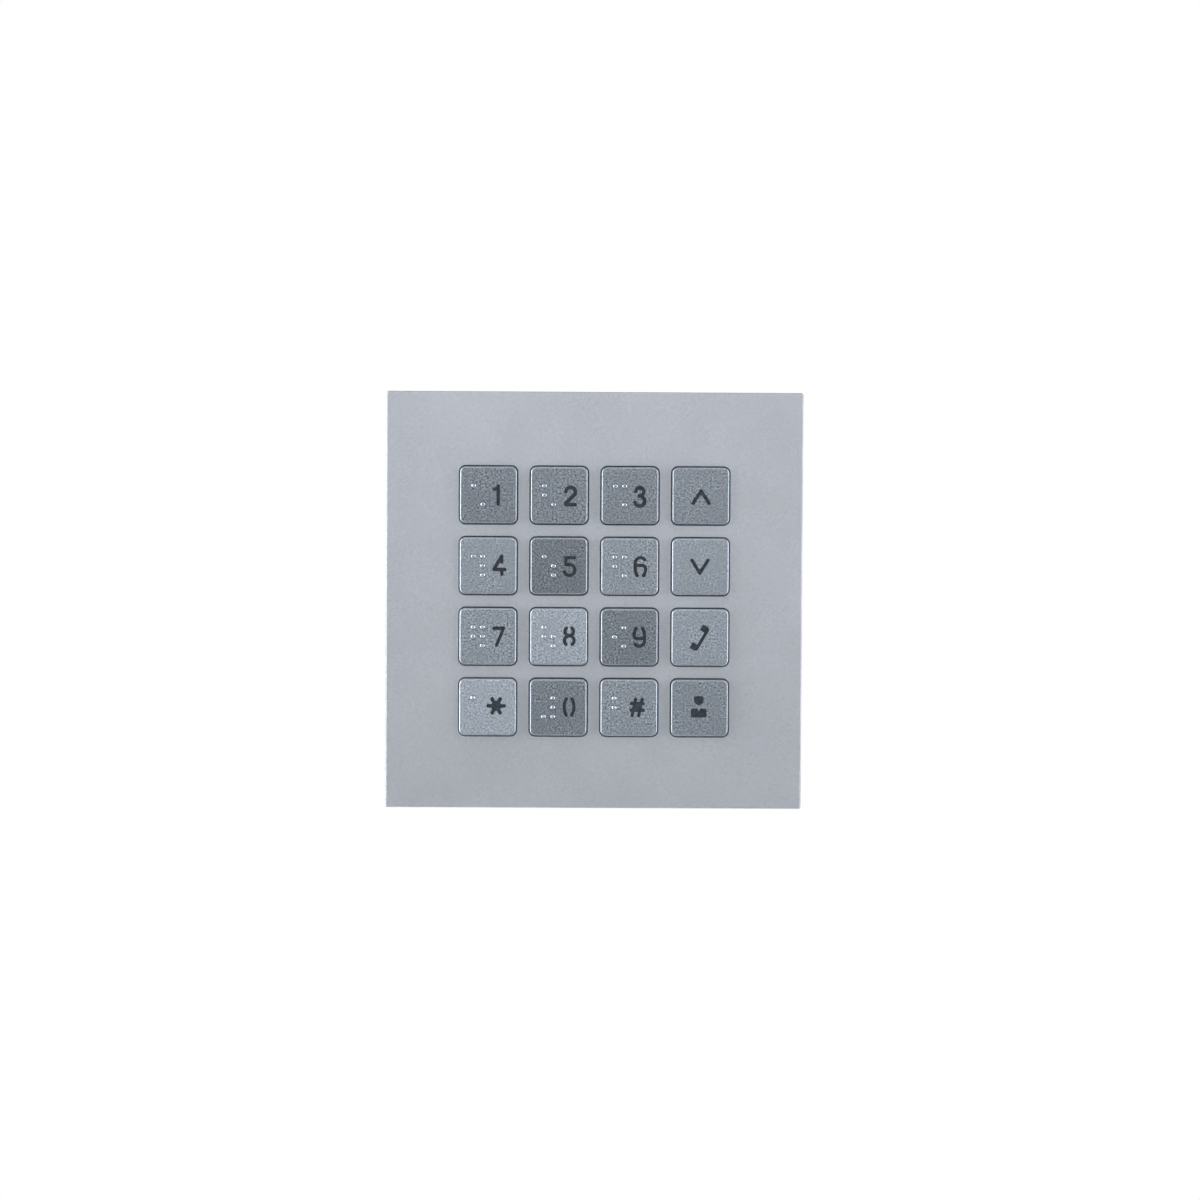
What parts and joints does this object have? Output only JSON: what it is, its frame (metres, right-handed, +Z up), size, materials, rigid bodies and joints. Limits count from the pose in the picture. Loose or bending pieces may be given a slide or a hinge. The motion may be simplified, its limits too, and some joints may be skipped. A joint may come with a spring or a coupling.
{
  "type": "keypad access reader",
  "caption": "Square metal keypad module for a door entry panel, with sprung metal keys, backlit cut-through legends and braille.",
  "frame": {"origin": "centre of the four fixing posts, in the plane of their end faces", "axes": "-Y out of the keypad's face towards the user, +Z up, +X to the user's right"},
  "size_m": [0.1122, 0.0267, 0.1122],
  "materials": {
    "plate_metal": "fine bead-blasted, anodised silver grey",
    "key_metal": "bead-blasted, a little darker than the plate",
    "smoked_guide": "smoked clear resin, dark when unlit",
    "black_plastic": "fine moulded texture",
    "silicone": "translucent milky silicone, satin",
    "carbon": "matt carbon-filled rubber",
    "gold_plate": "gold-plated contact",
    "green_board": "green solder mask on glass-fibre laminate",
    "led_body": "white moulded LED body",
    "chip_plastic": "black moulded chip package",
    "tinned_metal": "tinned legs and drawn cans",
    "ferrite": "dark sintered ferrite",
    "resistor_body": "small ceramic chips",
    "socket_plastic": "black moulded socket body",
    "zinc_steel": "zinc-plated screws",
    "seal_rubber": "black rubber, matt",
    "foam": "black closed-cell foam",
    "label_film": "blank satin label"
  },
  "bodies": {
    "module": {"front_plate": "plate_metal", "key_guide": "black_plastic", "silicone_keymat": "silicone", "contact_pills": "carbon", "contact_pads": "gold_plate", "circuit_board": "green_board", "backlight_leds": "led_body", "controller_chip": "chip_plastic", "bus_transceiver": "chip_plastic", "chip_leads": "tinned_metal", "voltage_regulator": "chip_plastic", "power_inductor": "ferrite", "smoothing_capacitors": "tinned_metal", "crystal": "tinned_metal", "buzzer": "chip_plastic", "surge_diodes": "chip_plastic", "chip_resistors": "resistor_body", "bus_in_jack": "socket_plastic", "bus_out_jack": "socket_plastic", "jack_contacts": "gold_plate", "board_screws": "zinc_steel", "rear_housing": "black_plastic", "housing_seal": "seal_rubber", "housing_screws": "zinc_steel", "wall_gasket": "foam", "blank_label": "label_film"},
    "key_1_body": {"key_1": "key_metal", "light_guide_1": "smoked_guide"},
    "key_2_body": {"key_2": "key_metal", "light_guide_2": "smoked_guide"},
    "key_3_body": {"key_3": "key_metal", "light_guide_3": "smoked_guide"},
    "key_up_body": {"key_up": "key_metal", "light_guide_up": "smoked_guide"},
    "key_4_body": {"key_4": "key_metal", "light_guide_4": "smoked_guide"},
    "key_5_body": {"key_5": "key_metal", "light_guide_5": "smoked_guide"},
    "key_6_body": {"key_6": "key_metal", "light_guide_6": "smoked_guide"},
    "key_down_body": {"key_down": "key_metal", "light_guide_down": "smoked_guide"},
    "key_7_body": {"key_7": "key_metal", "light_guide_7": "smoked_guide"},
    "key_8_body": {"key_8": "key_metal", "light_guide_8": "smoked_guide"},
    "key_9_body": {"key_9": "key_metal", "light_guide_9": "smoked_guide"},
    "key_call_body": {"key_call": "key_metal", "light_guide_call": "smoked_guide"},
    "key_star_body": {"key_star": "key_metal", "light_guide_star": "smoked_guide"},
    "key_0_body": {"key_0": "key_metal", "light_guide_0": "smoked_guide"},
    "key_hash_body": {"key_hash": "key_metal", "light_guide_hash": "smoked_guide"},
    "key_concierge_body": {"key_concierge": "key_metal", "light_guide_concierge": "smoked_guide"}
  },
  "joints": [
    {"name": "press_1", "type": "slide", "parent": "module", "child": "key_1_body", "axis": [0, 1, 0], "range_m": [0, 0.0008], "stiffness_N_per_m": 1500, "springref_m": -0.0006, "deforming": ["silicone_keymat"]},
    {"name": "press_2", "type": "slide", "parent": "module", "child": "key_2_body", "axis": [0, 1, 0], "range_m": [0, 0.0008], "stiffness_N_per_m": 1500, "springref_m": -0.0006, "deforming": ["silicone_keymat"]},
    {"name": "press_3", "type": "slide", "parent": "module", "child": "key_3_body", "axis": [0, 1, 0], "range_m": [0, 0.0008], "stiffness_N_per_m": 1500, "springref_m": -0.0006, "deforming": ["silicone_keymat"]},
    {"name": "press_up", "type": "slide", "parent": "module", "child": "key_up_body", "axis": [0, 1, 0], "range_m": [0, 0.0008], "stiffness_N_per_m": 1500, "springref_m": -0.0006, "deforming": ["silicone_keymat"]},
    {"name": "press_4", "type": "slide", "parent": "module", "child": "key_4_body", "axis": [0, 1, 0], "range_m": [0, 0.0008], "stiffness_N_per_m": 1500, "springref_m": -0.0006, "deforming": ["silicone_keymat"]},
    {"name": "press_5", "type": "slide", "parent": "module", "child": "key_5_body", "axis": [0, 1, 0], "range_m": [0, 0.0008], "stiffness_N_per_m": 1500, "springref_m": -0.0006, "deforming": ["silicone_keymat"]},
    {"name": "press_6", "type": "slide", "parent": "module", "child": "key_6_body", "axis": [0, 1, 0], "range_m": [0, 0.0008], "stiffness_N_per_m": 1500, "springref_m": -0.0006, "deforming": ["silicone_keymat"]},
    {"name": "press_down", "type": "slide", "parent": "module", "child": "key_down_body", "axis": [0, 1, 0], "range_m": [0, 0.0008], "stiffness_N_per_m": 1500, "springref_m": -0.0006, "deforming": ["silicone_keymat"]},
    {"name": "press_7", "type": "slide", "parent": "module", "child": "key_7_body", "axis": [0, 1, 0], "range_m": [0, 0.0008], "stiffness_N_per_m": 1500, "springref_m": -0.0006, "deforming": ["silicone_keymat"]},
    {"name": "press_8", "type": "slide", "parent": "module", "child": "key_8_body", "axis": [0, 1, 0], "range_m": [0, 0.0008], "stiffness_N_per_m": 1500, "springref_m": -0.0006, "deforming": ["silicone_keymat"]},
    {"name": "press_9", "type": "slide", "parent": "module", "child": "key_9_body", "axis": [0, 1, 0], "range_m": [0, 0.0008], "stiffness_N_per_m": 1500, "springref_m": -0.0006, "deforming": ["silicone_keymat"]},
    {"name": "press_call", "type": "slide", "parent": "module", "child": "key_call_body", "axis": [0, 1, 0], "range_m": [0, 0.0008], "stiffness_N_per_m": 1500, "springref_m": -0.0006, "deforming": ["silicone_keymat"]},
    {"name": "press_star", "type": "slide", "parent": "module", "child": "key_star_body", "axis": [0, 1, 0], "range_m": [0, 0.0008], "stiffness_N_per_m": 1500, "springref_m": -0.0006, "deforming": ["silicone_keymat"]},
    {"name": "press_0", "type": "slide", "parent": "module", "child": "key_0_body", "axis": [0, 1, 0], "range_m": [0, 0.0008], "stiffness_N_per_m": 1500, "springref_m": -0.0006, "deforming": ["silicone_keymat"]},
    {"name": "press_hash", "type": "slide", "parent": "module", "child": "key_hash_body", "axis": [0, 1, 0], "range_m": [0, 0.0008], "stiffness_N_per_m": 1500, "springref_m": -0.0006, "deforming": ["silicone_keymat"]},
    {"name": "press_concierge", "type": "slide", "parent": "module", "child": "key_concierge_body", "axis": [0, 1, 0], "range_m": [0, 0.0008], "stiffness_N_per_m": 1500, "springref_m": -0.0006, "deforming": ["silicone_keymat"]}
  ]
}
